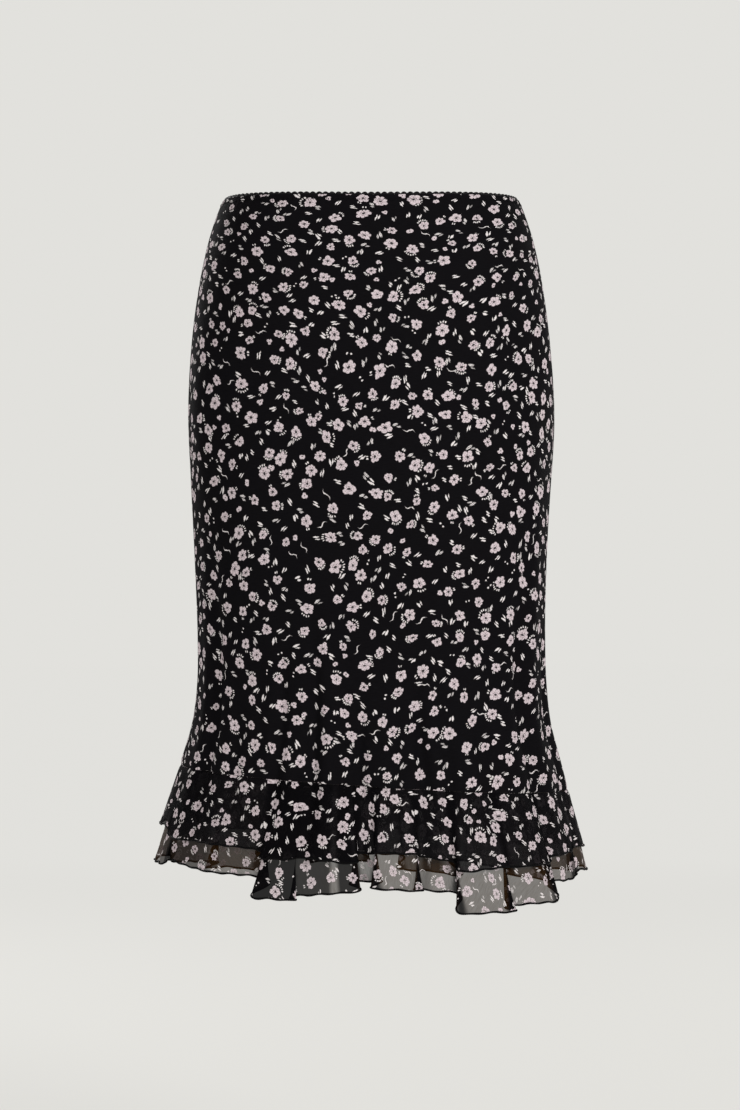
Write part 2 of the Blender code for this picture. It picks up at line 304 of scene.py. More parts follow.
def halfOf(grid, second, side):
    # the front or back half of a ring, from one side seam to the other
    ring = np.concatenate([grid, grid[:, :1]], axis=1)
    return ring[:, : second + 1] if side == "front" else ring[:, second:]


def unevenWave(place, length, seed, swing=0.35):
    # a wave round a ring whose length wanders; place runs from 0 to 1 and length is in the same measure
    count = max(round(1 / length), 1)
    drift = np.random.default_rng(seed).uniform(0, turn, 4)
    bend = sum(np.sin(turn * place * k + drift[k - 2]) / k for k in (2, 3, 4, 5))
    return np.sin(turn * place * count + swing * count**0.5 * bend)


def spacedRing(ring, countFor):
    # the ring closed and cut into even steps, with how far along each point stands
    closed = np.concatenate([ring, ring[:1]])
    along = summed(np.linalg.norm(np.diff(closed, axis=0), axis=1))
    wanted = np.linspace(0, along[-1], countFor(along[-1]) + 1)
    return np.stack([np.interp(wanted, along, closed[:, axis]) for axis in range(3)], axis=1), wanted


# Meshes: a piece is one or more patches of grid, each with its place on the cut cloth and on the bake's map

weldDistance = 0.004 * mm


def planOf(across, down):
    return np.stack(np.meshgrid(across, down), axis=-1)


def patch(points, plan, box=None, flip=False, slot=0):
    # plan is in metres on the cut cloth; box is where the patch goes on the bake's map
    return {"points": points, "plan": plan, "box": box, "flip": flip, "slot": slot}


def strip(outer, inner, plan, edge, box, flip=False):
    # closes a wall between its two faces along one edge
    return patch(np.stack([outer[edge], inner[edge]]), np.stack([plan[edge]] * 2), box, flip)


def tube(path, side, up, form, girth, along):
    # a thread round a path, its radius and sides as the form says
    angles = np.linspace(0, turn, form["sides"] + 1)
    ring = np.cos(angles)[:, None, None] * side + np.sin(angles)[:, None, None] * up
    return path + form["radius"] * girth[:, None] * ring, planOf(along, angles * form["radius"])


def bakePlace(one):
    # by the patch's plan, or straight for a strip
    rows, count = one["points"].shape[:2]
    x0, y0, x1, y1 = one["box"] or (0, 0, 1, 1)
    if rows > 2:
        low, high = one["plan"].min(axis=(0, 1)), one["plan"].max(axis=(0, 1))
        share = (one["plan"] - low) / (high - low)
    else:
        share = planOf(np.linspace(0, 1, count), np.linspace(0, 1, rows))
    return share * (x1 - x0, y1 - y0) + (x0, y0)


def placed(name, data):
    thing = bpy.data.objects.new(name, data)
    bpy.context.scene.collection.objects.link(thing)
    return thing


def makePiece(name, patches, materials, sharp):
    points, faces, plans, bakes, slots = [], [], [], [], []
    first = 0
    for one in patches:
        rows, count = one["points"].shape[:2]
        numbers = np.arange(rows * count).reshape(rows, count)
        corners = [numbers[:-1, :-1], numbers[1:, :-1], numbers[1:, 1:], numbers[:-1, 1:]]
        corners = np.stack(corners, axis=-1).reshape(-1, 4)
        if one["flip"]:
            corners = corners[:, ::-1]
        points.append(one["points"].reshape(-1, 3))
        faces.append(corners + first)
        plans.append(one["plan"].reshape(-1, 2)[corners])
        bakes.append(bakePlace(one).reshape(-1, 2)[corners])
        slots.append(np.full(len(corners), one["slot"]))
        first += rows * count
    mesh = bpy.data.meshes.new(name)
    mesh.from_pydata(np.concatenate(points).tolist(), [], np.concatenate(faces).tolist())
    for label, places in (("clothPlan", plans), ("OFBake", bakes)):
        layer = mesh.uv_layers.new(name=label)
        layer.data.foreach_set("uv", np.concatenate(places).astype(np.float32).ravel())
    mesh.polygons.foreach_set("material_index", np.concatenate(slots).astype(np.int32))
    for material in materials:
        mesh.materials.append(material)
    joined = bmesh.new()
    joined.from_mesh(mesh)
    bmesh.ops.remove_doubles(joined, verts=joined.verts, dist=weldDistance)
    joined.to_mesh(mesh)
    joined.free()
    mesh.shade_smooth()
    mesh.set_sharp_from_angle(angle=math.radians(sharp))
    piece = placed(name, mesh)
    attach(piece, "root")
    return piece


def wallPatches(outer, inner, plan):
    # both faces of one sheet with thickness, and the strips that close its four edges
    patches = [patch(outer, plan, (0, 0.52, 1, 1)), patch(inner, plan, (0, 0, 1, 0.48), flip=True, slot=1)]
    edges = ((np.s_[0], True), (np.s_[-1], False), (np.s_[:, 0], False), (np.s_[:, -1], True))
    for i, (edge, flip) in enumerate(edges):
        low = 0.488 + 0.006 * i
        patches.append(strip(outer, inner, plan, edge, (0, low, 1, low + 0.004), flip))
    return patches


# Node tools

def put(tree, socket, value):
    if isinstance(value, bpy.types.NodeSocket):
        tree.links.new(value, socket)
    else:
        socket.default_value = value


def nodeTools(tree):
    # each tool places nodes in one tree; an input may be a value or another node's output
    def add(kind, inputs=None, **settings):
        node = tree.nodes.new(kind)
        for name, value in settings.items():
            setattr(node, name, value)
        for key, value in (inputs or {}).items():
            put(tree, node.inputs[key], value)
        return node

    def calc(operation, *values, clamp=False):
        return add("ShaderNodeMath", dict(enumerate(values)), operation=operation, use_clamp=clamp).outputs[0]

    def times(first, *others):
        for value in others:
            first = calc("MULTIPLY", first, value)
        return first

    def vector(operation, *values):
        keys = (0, "Scale") if operation == "SCALE" else range(3)
        node = add("ShaderNodeVectorMath", dict(zip(keys, values)), operation=operation)
        return node.outputs["Value" if operation in ("LENGTH", "DISTANCE") else "Vector"]

    def blend(factor, one, two, kind="MIX"):
        one, two = ((*value, 1) if isinstance(value, tuple) else value for value in (one, two))
        return add("ShaderNodeMix", {0: factor, 6: one, 7: two}, data_type="RGBA", blend_type=kind).outputs[2]

    return add, calc, times, vector, blend


def newGroup(name, inputs, outputs):
    tree = bpy.data.node_groups.new(name, "ShaderNodeTree")
    for label, value in inputs.items():
        kind = "NodeSocketFloat" if isinstance(value, float) else "NodeSocketVector"
        socket = tree.interface.new_socket(label, in_out="INPUT", socket_type=kind)
        if isinstance(value, float):
            socket.default_value = value
    for label in outputs:
        tree.interface.new_socket(label, in_out="OUTPUT", socket_type="NodeSocketFloat")
    return tree, tree.nodes.new("NodeGroupInput").outputs, tree.nodes.new("NodeGroupOutput").inputs


# The print, in mm: flowers with tiny dots along one side, and leaves, strokes, buds, points and stems between

printForm = {
    "drift": (75.0, 10.0, 0.0),  # how the whole print is pulled about: length, distance and detail
    "edgeWobble": (2.1, 1.5, 1.0),  # how unsteady the drawn edges are, in the same measures
    "softness": 0.3,
    # lattices of motifs: spacing, scatter, shift and turn
    "flowerLattice": (27.4, 0.66, 40.0, 0.3),
    "secondLattice": (27.4, 0.8, 190.0, 1.1),
    "smallLattice": (13.8, 0.6, 90.0, 0.65),
    "flowerRoom": 15.0,  # least distance between two flowers
    "smallRoom": 8.7,  # least distance from a flower's middle to a small motif's
    "flowerRadius": 7.3,
    "flowerSizes": (0.66, 1.06),
    "sizePower": 0.6,
    "flowerStretch": (1.0, 1.36),
    "petals": (5, 8.99),  # rounded down
    "petalPower": 0.55,
    "petalDepths": (0.15, 0.45),  # as a share of the radius, past the flower's core
    "core": 0.62,
    "biteStart": 0.3,
    "bites": (0.1, 0.62),
    "gap": 0.75,  # bare cloth kept round a flower
    "eyeRadius": 1.28,
    "eyeSizes": (0.8, 1.35),
    "eyeShift": 0.1,
    "eyeDark": 0.95,
    "dotPitch": 0.34,  # radians round the flower
    "dotRadius": 0.68,
    "dotStretch": 0.66,
    "dotCounts": (0.6, 3.99),  # to each side, rounded down
    "leafLength": 3.9,
    "leafLengths": (0.72, 1.05),
    "shorterLeaf": 0.78,
    "leafWidth": 1.12,
    "sliver": (0.4, 0.8),  # least and most width of a pair's second leaf, as a share of the first's
    "leafOpening": 0.16,
    "leafApart": 1.35,
    "leafSlip": (0.3, 1.6),
    "longerShare": 0.32,
    "veinWidth": 0.24,
    "veinDark": 0.8,
    "veinless": 0.35,
    "strokeWidth": 0.74,
    "strokeApart": 1.05,
    "strokeLean": 0.6,
    "pointRadius": 0.8,
    "pointApart": 1.9,
    "stem": (5.6, 0.5),  # half length and half width
    "stemBend": (0.6, 1.3),  # pitch and size
    "budRadius": 3.1,
    "budSizes": (0.8, 1.1),
    "budPower": 0.6,
    "budLobes": (1.0, 1.5),  # of two kinds
    "budKinds": 0.4,
    "budEye": 0.55,
    "markRing": (2.5, 0.45),  # radius and half width
    "marks": (6.0, 0.35),
    "markDark": 0.85,
    "lineWidth": 1.9,
    "lineDark": 0.8,
    "mottle": (0.47, 3.4),
}


def makePrintGroup():
    form = printForm
    tree, given, made = newGroup("ditsyPrint", {"Place": None}, ("Pink", "White", "Shade", "Cover"))
    add, calc, times, vector, _ = nodeTools(tree)
    place = vector("SCALE", given["Place"], 1000.0)

    def swayed(where, length, amount, detail):
        noise = add("ShaderNodeTexNoise", {"Vector": where, "Scale": 1 / length, "Detail": detail},
                    noise_dimensions="2D")
        pull = vector("SUBTRACT", noise.outputs["Color"], (0.5,) * 3)
        return vector("ADD", where, vector("SCALE", pull, amount))

    drawn = swayed(swayed(place, *form["drift"]), *form["edgeWobble"])
    drawn = vector("MULTIPLY", drawn, (1.0, 1.0, 0.0))

    def less(one, two):
        return calc("SUBTRACT", one, two)

    def opposite(value):
        return less(1.0, value)

    def above(one, two):
        return calc("GREATER_THAN", one, two)

    def below(one, two):
        return calc("LESS_THAN", one, two)

    def either(*masks):
        return functools.reduce(lambda one, two: calc("MAXIMUM", one, two), masks)

    def step(value):
        # 1 where value is above 0, with a soft edge
        return calc("ADD", calc("DIVIDE", value, form["softness"]), 0.5, clamp=True)

    def between(chance, low, high):
        return calc("MULTIPLY_ADD", chance, high - low, low)

    def chosen(mask, one, two):
        # two where mask is 1
        return calc("ADD", times(two, mask), times(one, opposite(mask)))

    def turned(where, angle, middle=(0.0, 0.0, 0.0)):
        inputs = {"Vector": where, "Angle": angle, "Center": middle}
        return add("ShaderNodeVectorRotate", inputs, rotation_type="Z_AXIS").outputs[0]

    def nearest(where, spacing, scatter, shift, angle):
        # middle of the nearest cell of a scattered lattice, shifted and turned
        middle = (shift, shift * 0.37, 0.0)
        found = add("ShaderNodeTexVoronoi", {
            "Vector": turned(where, angle, middle), "Scale": 1 / spacing, "Randomness": scatter,
        }, voronoi_dimensions="2D", feature="F1").outputs["Position"]
        return turned(found, -angle, middle)

    def flowerMiddle(where):
        # two lattices; a flower of the second is kept where it has room from the first
        first, second = nearest(where, *form["flowerLattice"]), nearest(where, *form["secondLattice"])
        beside = nearest(second, *form["flowerLattice"])
        kept = above(vector("DISTANCE", beside, second), form["flowerRoom"])
        closer = below(vector("DISTANCE", where, second), vector("DISTANCE", where, first))
        return vector("ADD", first, vector("SCALE", vector("SUBTRACT", second, first), times(kept, closer)))

    def chances(middle):
        # six numbers from 0 to 1 that belong to one motif
        found = []
        for shift in (0.0, 57.0):
            where = vector("ADD", middle, (shift, shift, 0.0))
            rounded = vector("SNAP", where, (0.01, 0.01, 0.01))
            noise = add("ShaderNodeTexWhiteNoise", {"Vector": rounded}, noise_dimensions="2D")
            found += list(add("ShaderNodeSeparateColor", {0: noise.outputs["Color"]}).outputs)
        return found

    def local(middle, angle):
        # place from a motif's middle, turned by its own angle
        spot = turned(vector("SUBTRACT", drawn, middle), times(angle, turn))
        return add("ShaderNodeSeparateXYZ", {0: spot}).outputs[:2]

    def polar(x, y):
        return calc("ARCTAN2", y, x), calc("SQRT", calc("ADD", times(x, x), times(y, y)))

    def lobes(angle, power):
        return calc("POWER", calc("ABSOLUTE", calc("COSINE", angle)), power)

    def lens(x, y, half, width):
        share = calc("DIVIDE", x, half)
        return step(less(times(width, opposite(times(share, share))), calc("ABSOLUTE", y)))

    # Flowers: uneven petals, one side bitten, a dark eye off the middle
    middle = flowerMiddle(drawn)
    chance = chances(middle)
    x, y = local(middle, chance[0])
    y = times(y, between(chance[4], *form["flowerStretch"]))
    angle, reach = polar(x, y)
    petals = calc("FLOOR", between(chance[1], *form["petals"]))
    phase = times(angle, calc("DIVIDE", petals, turn))
    lobe = lobes(times(phase, math.pi), form["petalPower"])
    petal = calc("FLOORED_MODULO", calc("ROUND", phase), petals)
    petal = add("ShaderNodeCombineXYZ", {0: petal, 1: chance[2], 2: chance[3]}).outputs[0]
    own = add("ShaderNodeTexWhiteNoise", {"Vector": petal}, noise_dimensions="3D").outputs["Value"]
    size = between(calc("POWER", chance[2], form["sizePower"]), *form["flowerSizes"])
    radius = times(size, form["flowerRadius"])
    bitten = calc("SUBTRACT", calc("COSINE", angle), form["biteStart"], clamp=True)
    shape = calc("MULTIPLY_ADD", lobe, between(own, *form["petalDepths"]), form["core"])
    rim = times(radius, less(shape, times(bitten, between(chance[5], *form["bites"]))))
    clear = opposite(step(less(calc("ADD", rim, form["gap"]), reach)))
    eyeAngle, eyeReach = polar(calc("MULTIPLY_ADD", radius, form["eyeShift"], x), y)
    eye = step(less(times(between(own, *form["eyeSizes"]), form["eyeRadius"]), eyeReach))
    flower = times(step(less(rim, reach)), opposite(times(eye, form["eyeDark"])))

    # Tiny dots along the bitten side
    pitch = form["dotPitch"]
    along = times(less(calc("FRACT", calc("DIVIDE", angle, pitch)), 0.5), pitch, radius)
    dots = step(less(form["dotRadius"], polar(along, times(less(reach, radius), form["dotStretch"]))[1]))
    dotted = times(pitch, calc("FLOOR", between(chance[3], *form["dotCounts"])))
    dots = times(dots, below(calc("ABSOLUTE", angle), dotted))

    # Small motifs, drawn by lot: of nine, four are leaf pairs, three strokes, one a bud, one points or a stem
    middle = nearest(drawn, *form["smallLattice"])
    lot = chances(middle)
    x, y = local(middle, lot[0])
    across, side = calc("ABSOLUTE", y), calc("SIGN", y)
    kind = calc("FLOOR", times(lot[1], 9.0))
    pair, strokes = below(kind, 3.5), calc("COMPARE", kind, 5.0, 1.1)
    bud, last = calc("COMPARE", kind, 7.0, 0.1), calc("COMPARE", kind, 8.0, 0.1)
    points, stem = times(last, above(lot[2], 0.5)), times(last, below(lot[2], 0.5))

    # Leaf pairs, one leaf longer and wider than the other, and pairs of strokes
    c, s = math.cos(form["leafOpening"]), math.sin(form["leafOpening"])
    half = times(between(lot[3], *form["leafLengths"]), form["leafLength"])
    forward = calc("ADD", times(x, c), times(across, s))
    forward = calc("MULTIPLY_ADD", side, between(lot[5], *form["leafSlip"]), forward)
    sideways = less(less(times(across, c), times(x, s)), form["leafApart"])
    longer = above(times(side, less(lot[4], form["longerShare"])), 0.0)
    u = chosen(pair, calc("MULTIPLY_ADD", y, form["strokeLean"], x), forward)
    v = chosen(pair, less(across, form["strokeApart"]), sideways)
    sliver = times(between(lot[2], *form["sliver"]), form["leafWidth"])
    width = chosen(pair, form["strokeWidth"], chosen(longer, sliver, form["leafWidth"]))
    leaf = lens(u, v, times(half, between(longer, form["shorterLeaf"], 1.0)), width)
    vein = times(below(calc("ABSOLUTE", v), form["veinWidth"]), pair,
                 above(lot[5], form["veinless"]))
    leaf = times(leaf, either(pair, strokes), opposite(times(vein, form["veinDark"])))

    # Pairs of points, bent stems and buds
    spots = step(less(form["pointRadius"], polar(less(calc("ABSOLUTE", x), form["pointApart"]), y)[1]))
    bend = times(calc("SINE", times(x, form["stemBend"][0])), form["stemBend"][1])
    stroke = lens(x, less(y, bend), *form["stem"])
    white = either(leaf, times(spots, points), times(stroke, stem))
    budAngle, budReach = polar(x, y)
    budKind = above(lot[2], form["budKinds"])
    budLobe = lobes(times(budAngle, between(budKind, *form["budLobes"])), form["budPower"])
    budSize = times(between(lot[4], *form["budSizes"]), form["budRadius"])
    budRim = times(calc("MULTIPLY_ADD", budLobe, 0.5, 0.5), budSize)
    bud = times(bud, step(less(budRim, budReach)), above(budReach, form["budEye"]))
    room = above(vector("DISTANCE", flowerMiddle(middle), middle), form["smallRoom"])
    room = times(room, clear)
    pink = either(flower, times(bud, room))
    white = either(times(white, room), times(dots, clear))

    # Shade of the flowers: lines between petals, a ring of small marks and a mottle
    line = times(calc("SUBTRACT", 1.0, times(lobe, form["lineWidth"]), clamp=True),
                 below(reach, times(radius, form["core"])))
    (ringRadius, ringWidth), (markCount, markGap) = form["markRing"], form["marks"]
    marks = times(below(calc("ABSOLUTE", less(eyeReach, ringRadius)), ringWidth),
                  above(calc("COSINE", times(eyeAngle, markCount)), markGap))
    fine = add("ShaderNodeTexNoise", {"Vector": place, "Scale": 1.0, "Detail": 2.0, "Roughness": 0.7},
               noise_dimensions="2D").outputs[0]
    least, growth = form["mottle"]
    mottle = calc("MULTIPLY", calc("SUBTRACT", fine, least, clamp=True), growth, clamp=True)
    shade = either(times(line, form["lineDark"]), times(marks, form["markDark"]), mottle)
    for label, value in {"Pink": pink, "White": white, "Shade": shade, "Cover": either(pink, white)}.items():
        tree.links.new(value, made[label])
    return tree


weaveInputs = {
    "Place": None,
    "Threads": 2.4,
    "Crinkle": 0.5,
    "CrinkleLength": 3.0,
    "SlubAcross": 8.3,
    "SlubDown": 0.45,
}


def makeWeaveGroup():
    # threads across and along, broken up by a crinkle, as a height and a grain from 0 to 1
    tree, given, made = newGroup("clothWeave", weaveInputs, ("Height", "Grain"))
    add, calc, times, vector, _ = nodeTools(tree)
    level = vector("MULTIPLY", given["Place"], (1000.0, 1000.0, 0.0))
    spot = add("ShaderNodeSeparateXYZ", {0: level}).outputs
    waves = [calc("SINE", times(spot[axis], given["Threads"], turn)) for axis in (0, 1)]
    over = calc("MULTIPLY_ADD", times(*waves), 0.5, 0.5)
    rate = calc("DIVIDE", 1.0, given["CrinkleLength"])
    crinkle = add("ShaderNodeTexNoise", {"Vector": level, "Scale": rate, "Detail": 2.0, "Distortion": 0.6},
                  noise_dimensions="2D").outputs[0]
    drawn = add("ShaderNodeCombineXYZ", {0: calc("DIVIDE", spot[0], given["SlubAcross"]),
                                         1: calc("DIVIDE", spot[1], given["SlubDown"])}).outputs[0]
    slub = add("ShaderNodeTexNoise", {"Vector": drawn, "Scale": 1.0, "Detail": 1.0},
               noise_dimensions="2D").outputs[0]
    height = calc("ADD", times(over, 0.25), times(crinkle, given["Crinkle"]))
    tree.links.new(height, made["Height"])
    tree.links.new(calc("ADD", times(over, 0.4), times(slub, 0.6)), made["Grain"])
    return tree


def newMaterial(name):
    material = bpy.data.materials.new(name)
    material.use_nodes = True
    tree = material.node_tree
    shader = tree.nodes["Principled BSDF"]
    add, calc, times, vector, blend = nodeTools(tree)
    plan = add("ShaderNodeUVMap", uv_map="clothPlan").outputs[0]

    def placeGroup(group, **inputs):
        return add("ShaderNodeGroup", {"Place": plan, **inputs}, node_tree=group).outputs

    def planInMm():
        return add("ShaderNodeSeparateXYZ", {0: vector("SCALE", plan, 1000.0)}).outputs

    def shade(**values):
        for label, value in values.items():
            put(tree, shader.inputs[label.replace("_", " ")], value)

    def finish(look, colour, grain, height):
        # what every cloth and thread says of its shader
        bump = dict(zip(("Distance", "Strength"), look["bump"]), Height=height)
        shade(Base_Color=colour, Roughness=calc("MULTIPLY_ADD", grain, *look["rough"]),
              Normal=add("ShaderNodeBump", bump).outputs[0], **look["shader"])
        return material

    return {"add": add, "calc": calc, "times": times, "blend": blend, "group": placeGroup,
            "planInMm": planInMm, "shade": shade, "finish": finish}


printColours = {
    "black": ((0.0030, 0.0027, 0.0033), (0.0074, 0.0068, 0.0080)),  # darkest and lightest of the ground
    "brownBlack": ((0.020, 0.009, 0.0025), (0.030, 0.0145, 0.005)),  # the thin cloth with light behind it
    "pink": (0.655, 0.565, 0.59),
    "pinkShade": (0.15, 0.105, 0.115),
    "white": (0.705, 0.655, 0.65),
}


def printedColour(kit, printed, weave, ground="black", fade=0.0, doubled=None):
    # ground, flowers and white marks; fade is how much ground shows through the print on the wrong side
    times, blend = kit["times"], kit["blend"]
    colours = printColours
    ground = blend(weave["Grain"], *colours[ground])
    # painted shade: the ground turns black where the cloth lies double and in the folds' shade
    if doubled:
        ground = blend(doubled, ground, colours["black"][0])
    flower = blend(printed["Shade"], colours["pink"], colours["pinkShade"])
    colour = blend(times(printed["Pink"], 1 - fade), ground, flower)
    colour = blend(times(printed["White"], 1 - fade), colour, colours["white"])
    return blend(1.0, colour, kit["calc"]("MULTIPLY_ADD", weave["Grain"], 0.24, 0.86), "MULTIPLY")


# Each look: the weave's inputs, how the roughness follows the grain, the bump's depth and strength, the rest
bodyCrepe = {
    "weave": {"Threads": 2.2, "Crinkle": 0.8, "CrinkleLength": 2.2},
    "rough": (0.18, 0.62),
    "bump": (0.00022, 0.55),
    "shader": {"Sheen_Weight": 0.002, "Sheen_Roughness": 0.4, "Specular_IOR_Level": 0.008},
}


def makeBodyCloth(name, printGroup, weaveGroup, fade=0.0):
    kit = newMaterial(name)
    weave = kit["group"](weaveGroup, **bodyCrepe["weave"])
    colour = printedColour(kit, kit["group"](printGroup), weave, fade=fade)
    return kit["finish"](bodyCrepe, colour, weave["Grain"], weave["Height"])


sheerCloth = {
    "cover": {"upper": 0.89, "lower": 0.755},  # how much one layer hides
    "coverSwing": 0.2,
    "printCover": 0.955,
    # painted shade: how much the cloth hides where it lies double and in the folds' shade
    "doubledCover": 0.972,
    "seamCover": 0.93,
    "sideSeam": 3.5 * mm,
    "topSeam": 6.0 * mm,
    "weave": {"Threads": 1.7, "Crinkle": 0.7, "CrinkleLength": 2.8, "SlubAcross": 1.15, "SlubDown": 11.0},
    "rough": (0.2, 0.6),
    "bump": (0.0002, 0.5),
    "shader": {"Sheen_Weight": 0.002, "Sheen_Roughness": 0.5, "Specular_IOR_Level": 0.008},
}


def makeRuffleCloth(layer, printGroup, weaveGroup, ground):
    form = sheerCloth
    kit = newMaterial(f"{layer}Chiffon")
    add, calc = kit["add"], kit["calc"]
    printed, weave = kit["group"](printGroup), kit["group"](weaveGroup, **form["weave"])
    # painted shade: the ground darker and the cover higher at the folds' edges and along doubled stretches
    doubled = add("ShaderNodeAttribute", attribute_name="doubled").outputs["Fac"]
    edges = add("ShaderNodeSeparateXYZ", {0: add("ShaderNodeUVMap", uv_map="edgePlace").outputs[0]}).outputs
    sewn = calc("MAXIMUM", calc("LESS_THAN", edges[0], form["sideSeam"]),
                calc("LESS_THAN", edges[1], form["topSeam"]))
    swing = form["coverSwing"]
    cover = calc("MULTIPLY_ADD", weave["Grain"], swing, form["cover"][layer] - swing / 2)
    for mask, label in ((doubled, "doubledCover"), (sewn, "seamCover"), (printed["Cover"], "printCover")):
        cover = calc("MULTIPLY_ADD", mask, calc("SUBTRACT", form[label], cover), cover)
    kit["shade"](Alpha=cover)
    colour = printedColour(kit, printed, weave, ground, doubled=doubled)
    return kit["finish"](form, colour, weave["Grain"], weave["Height"])


blackCotton = {
    "colours": ((0.0022, 0.002, 0.0023), (0.00572, 0.0052, 0.00598)),
    "lay": 1.4,  # mm along the thread, then round it, to one turn of its plies
    "round": 3.2,
    "weave": {"Threads": 3.0, "Crinkle": 0.3, "CrinkleLength": 1.2},
    "rough": (-0.15, 0.7),
    "bump": (0.0002, 0.8),
    "shader": {"Sheen_Weight": 0.004, "Sheen_Roughness": 0.5, "Specular_IOR_Level": 0.04},
}


def makeThread(name, weaveGroup):
    # overlocked or plain sewing thread: plies that wind round as they run along
    form = blackCotton
    kit = newMaterial(name)
    calc, times = kit["calc"], kit["times"]
    weave, spot = kit["group"](weaveGroup, **form["weave"]), kit["planInMm"]()
    wound = calc("ADD", calc("DIVIDE", spot[0], form["lay"]), calc("DIVIDE", spot[1], form["round"]))
    ply = calc("MULTIPLY_ADD", calc("SINE", times(wound, turn)), 0.5, 0.5)
    colour = kit["blend"](times(ply, weave["Grain"]), *form["colours"])
    return kit["finish"](form, colour, ply, calc("MULTIPLY_ADD", weave["Height"], 0.3, ply))


ribbedElastic = {
    "colours": ((0.0022, 0.002, 0.0024), (0.0085, 0.0078, 0.0088)),
    "stitch": 0.9,
    "rib": 1.5,
    "weave": {"Threads": 1.6, "Crinkle": 0.25, "CrinkleLength": 1.5},
    "rough": (0.12, 0.6),
    "bump": (0.0003, 0.7),
    "shader": {"Sheen_Weight": 0.03, "Sheen_Roughness": 0.5, "Specular_IOR_Level": 0.12},
}


def makeElasticCloth(name, weaveGroup):
    # ribs run round the band, crossed by finer stitches
    form = ribbedElastic
    kit = newMaterial(name)
    calc, times = kit["calc"], kit["times"]
    weave, spot = kit["group"](weaveGroup, **form["weave"]), kit["planInMm"]()
    stitch, rib = (calc("MULTIPLY_ADD", calc("SINE", times(spot[axis], turn / form[label])), 0.5, 0.5)
                   for axis, label in enumerate(("stitch", "rib")))
    colour = kit["blend"](times(rib, weave["Grain"]), *form["colours"])
    return kit["finish"](form, colour, stitch, calc("ADD", times(rib, 0.8), times(stitch, 0.4)))


# Body panels

bodyPanels = {
    "thickness": 0.9 * mm,
    "rows": 118,
    "seamTuck": 1.1 * mm,  # how far the cloth turns in at the ruffle seam, over seamTuckHeight
    "seamTuckHeight": 4.5 * mm,
    "sideTuck": 0.7 * mm,
    "sideTuckWidth": 2.6 * mm,
    "puckers": 0.28 * mm,
    "puckerLength": 8.5 * mm,
    "puckerFall": 14 * mm,
    # size, waves round the body and lean of each slow swell, and the depths between which they grow
    "sway": [(0.55 * mm, 7, 3.1), (0.4 * mm, 11, -2.3), (0.3 * mm, 18, 1.7)],
    "swayFall": (0.03, 0.2),
    "stretchFall": (0.03, 0.17),  # below the waist the print is pulled wide, then eases
    "stretchAcross": 0.1,
    "stretchDown": 0.3,
    # girths in metres that turn a length into a share of a turn, and radii that turn degrees into metres
    "puckerGirth": 0.92,
    "creaseRadius": 0.165,
    "sideRadius": 0.14,
    "ridge": (0.4, 1.9, 1.6),  # beside a crease, in its own depth and width: height, distance and spread
    # side, piece, node, flat size, area and where it lies in the print
    "panels": [
        ("front", "bodyFront", "front_panel", (0.56, 0.61), 0.31, (0.0, 0.0)),
        ("back", "bodyBack", "back_panel", (0.60, 0.61), 0.33, (1.3, 0.4)),
    ],
    # one crease a row: degrees and height at its top and at its foot, then depth and width in mm, and on
    # which side the low ridge beside it lies
    "creases": [
        (-60, -0.31, -57, -0.585, 6.0, 11, -1),
        (-46, -0.47, -43, -0.590, 2.0, 8, 1),
        (-29, -0.42, -28, -0.588, 4.8, 6, -1),
        (-19, -0.38, -17, -0.590, 5.2, 6, 1),
        (-9, -0.52, -8, -0.592, 2.4, 5, -1),
        (-3, -0.47, -4, -0.592, 4.2, 5.5, 1),
        (6, -0.50, 8, -0.592, 2.6, 5, -1),
        (14, -0.43, 15.5, -0.594, 4.6, 5.5, 1),
        (24, -0.50, 23, -0.596, 2.8, 5, -1),
        (33, -0.47, 35, -0.598, 3.4, 7, 1),
        (58, -0.26, 54, -0.602, 6.6, 12, 1),
        (78, -0.37, 76, -0.602, 3.0, 9, 1),
        (109, -0.40, 106, -0.600, 4.4, 8, -1),
        (127, -0.44, 128, -0.598, 5.2, 8, 1),
        (142, -0.46, 141, -0.596, 2.9, 6, -1),
        (155, -0.42, 157, -0.594, 5.0, 7, 1),
        (170, -0.48, 171, -0.592, 3.0, 6, -1),
        (181, -0.45, 182, -0.590, 4.7, 6, 1),
        (196, -0.46, 198, -0.588, 2.8, 6, -1),
        (213, -0.40, 212, -0.586, 5.6, 8, 1),
        (231, -0.36, 228, -0.584, 4.1, 9, -1),
        (252, -0.38, 254, -0.582, 3.0, 9, 1),
    ],
}


def creaseDepth(degrees, z):
    # soft troughs with a low ridge on one side
    depth = 0 * degrees * z
    height, apart, spread = bodyPanels["ridge"]
    for top, topHeight, foot, footHeight, deep, wide, side in bodyPanels["creases"]:
        share = (topHeight - z) / (topHeight - footHeight)
        middle = top + np.clip(share, 0, 1) * (foot - top)
        away = angleFrom(middle, degrees) * math.radians(1) * bodyPanels["creaseRadius"] / (wide * mm)
        profile = np.exp(-(away**2)) - height * np.exp(-((away - apart * side) ** 2) / spread)
        depth += deep * mm * profile * eased(share, 0, 0.75) * (1 - eased(share, 1.0, 1.5))
    return depth


